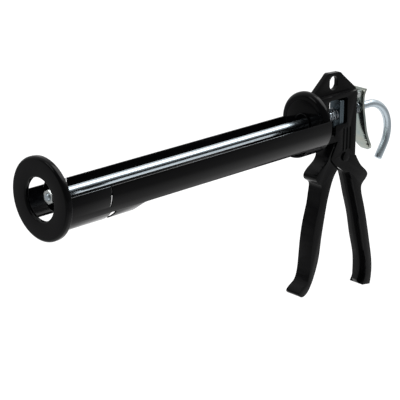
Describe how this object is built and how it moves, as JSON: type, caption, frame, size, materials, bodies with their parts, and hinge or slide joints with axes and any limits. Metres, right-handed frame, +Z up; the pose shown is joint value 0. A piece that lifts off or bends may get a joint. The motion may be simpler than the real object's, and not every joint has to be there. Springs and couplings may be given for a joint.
{
  "type": "caulking gun",
  "caption": "Caulking gun with a half-round cartridge cradle, hooked push rod, trigger and thumb release lever.",
  "frame": {"origin": "centre of the nozzle hole in the front disc's outer face, on the push rod's axis", "axes": "+X runs along the push rod from the front disc to the handle, +Z is up towards the hanger eye, +Y completes the right-handed set"},
  "size_m": [0.402, 0.066, 0.2093],
  "materials": {
    "black_enamel_casting": "glossy black enamel on a die casting",
    "black_enamel_sheet": "glossy black enamel on pressed steel sheet",
    "bright_rod": "bright drawn and plated steel rod",
    "bright_lever": "bright zinc plate on pressed steel",
    "zinc_plate": "blue-white zinc plate",
    "spring_steel": "drawn spring wire"
  },
  "bodies": {
    "frame": {"handle_frame": "black_enamel_casting", "trigger_pivot_pin": "black_enamel_casting", "pivot_pin_clip": "spring_steel", "barrel_sleeve": "black_enamel_sheet", "barrel_lock_nut": "zinc_plate", "swivel_washer": "zinc_plate", "spring_washer": "zinc_plate", "release_lever_pin": "zinc_plate", "drive_spring": "spring_steel", "brake_spring": "spring_steel"},
    "cradle": {"cradle_shell": "black_enamel_sheet", "front_disc": "black_enamel_sheet", "rear_disc": "black_enamel_sheet"},
    "rod": {"push_rod": "bright_rod", "pusher_plate": "black_enamel_sheet", "pusher_washer_rear": "black_enamel_sheet", "pusher_washer_front": "black_enamel_sheet", "pusher_nut": "zinc_plate"},
    "trigger": {"trigger": "black_enamel_casting"},
    "drive_plates": {"drive_plate_front": "zinc_plate", "drive_plate_rear": "zinc_plate"},
    "release_lever": {"release_lever": "bright_lever"}
  },
  "joints": [
    {"name": "trigger_squeeze", "type": "hinge", "parent": "frame", "child": "trigger", "pos_m": [0.333, 0, -0.039], "axis": [0, -1, 0], "range_deg": [0, 24], "stiffness_Nm_per_rad": 0.6, "springref_deg": -20.05, "deforming": ["drive_spring"]},
    {"name": "plate_drive", "type": "slide", "parent": "frame", "child": "drive_plates", "axis": [-1, 0, 0], "range_m": [0, 0.0118]},
    {"name": "rod_slide", "type": "slide", "parent": "frame", "child": "rod", "axis": [1, 0, 0], "range_m": [0, 0.262]},
    {"name": "cradle_spin", "type": "hinge", "parent": "frame", "child": "cradle", "pos_m": [0.286, 0, 0], "axis": [1, 0, 0], "continuous": true},
    {"name": "release_press", "type": "hinge", "parent": "frame", "child": "release_lever", "pos_m": [0.3498, 0, 0.014], "axis": [0, 1, 0], "range_deg": [0, 8], "stiffness_Nm_per_rad": 0.3, "springref_deg": -17.19, "deforming": ["brake_spring"]}
  ],
  "couplings": [
    {"joint": "plate_drive", "follows": "trigger_squeeze", "m_per_rad": 0.0275}
  ]
}
